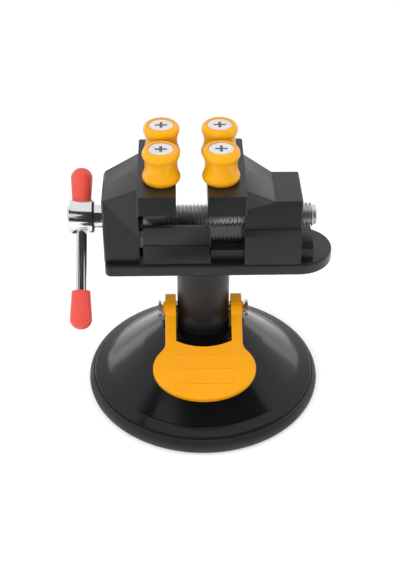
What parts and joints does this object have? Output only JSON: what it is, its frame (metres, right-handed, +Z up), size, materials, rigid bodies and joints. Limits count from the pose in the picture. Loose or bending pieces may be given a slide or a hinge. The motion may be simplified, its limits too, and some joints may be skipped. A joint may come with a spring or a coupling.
{
  "type": "suction base vise",
  "caption": "Small bench vise with a lead screw, a sliding bar handle and upright pegs on both jaws, on a column with a rubber suction base and cam lever.",
  "frame": {"origin": "on the bench, on the suction base's axis", "axes": "+Z up along the column, +X from the fixed jaw to the moving jaw, -Y the side of the cam lever"},
  "size_m": [0.086, 0.0804, 0.0975],
  "materials": {
    "rubber_black": "satin moulded rubber",
    "housing_black": "glossy moulded plastic",
    "column_grey": "satin moulded plastic",
    "body_black": "satin moulded plastic",
    "lever_orange": "semi-gloss moulded plastic",
    "peg_yellow": "semi-gloss moulded plastic",
    "cap_red": "soft dipped plastic",
    "steel": "plated steel",
    "dark_steel": "blackened steel",
    "chrome": "bright plating"
  },
  "bodies": {
    "base": {"suction_cup": "rubber_black", "base_housing": "housing_black", "column": "column_grey", "column_screws": "steel", "head_bolt": "steel", "vise_body": "body_black", "fixed_front_peg": "peg_yellow", "fixed_front_peg_screw": "steel", "fixed_rear_peg": "peg_yellow", "fixed_rear_peg_screw": "steel"},
    "stem": {"pull_stem": "body_black", "lever_pin": "steel", "pin_retainer": "steel"},
    "lever": {"cam_lever": "lever_orange"},
    "jaw": {"moving_jaw": "body_black", "moving_front_peg": "peg_yellow", "moving_front_peg_screw": "steel", "moving_rear_peg": "peg_yellow", "moving_rear_peg_screw": "steel"},
    "screw": {"lead_screw": "steel", "thrust_washer": "dark_steel", "screw_hub": "chrome"},
    "bar": {"t_bar": "chrome", "bar_cap_upper": "cap_red", "bar_cap_lower": "cap_red"}
  },
  "joints": [
    {"name": "screw_turn", "type": "hinge", "parent": "base", "child": "screw", "pos_m": [0, 0, 0.0685], "axis": [1, 0, 0], "range_deg": [-3744.1, 1843.3]},
    {"name": "jaw_slide", "type": "slide", "parent": "base", "child": "jaw", "axis": [1, 0, 0], "range_m": [-0.0064, 0.013]},
    {"name": "bar_slide", "type": "slide", "parent": "screw", "child": "bar", "axis": [0, 0.7314, 0.682], "range_m": [0, 0.0186]},
    {"name": "stem_drop", "type": "slide", "parent": "base", "child": "stem", "axis": [0, 0, 1], "range_m": [-0.002, 0], "deforming": ["suction_cup"]},
    {"name": "lever_turn", "type": "hinge", "parent": "stem", "child": "lever", "pos_m": [0, 0, 0.031], "axis": [-1, 0, 0], "range_deg": [0, 68.01]}
  ],
  "couplings": [
    {"joint": "screw_turn", "follows": "jaw_slide", "rad_per_m": -5026.5},
    {"joint": "lever_turn", "follows": "stem_drop", "rad_per_m": -593.41}
  ]
}
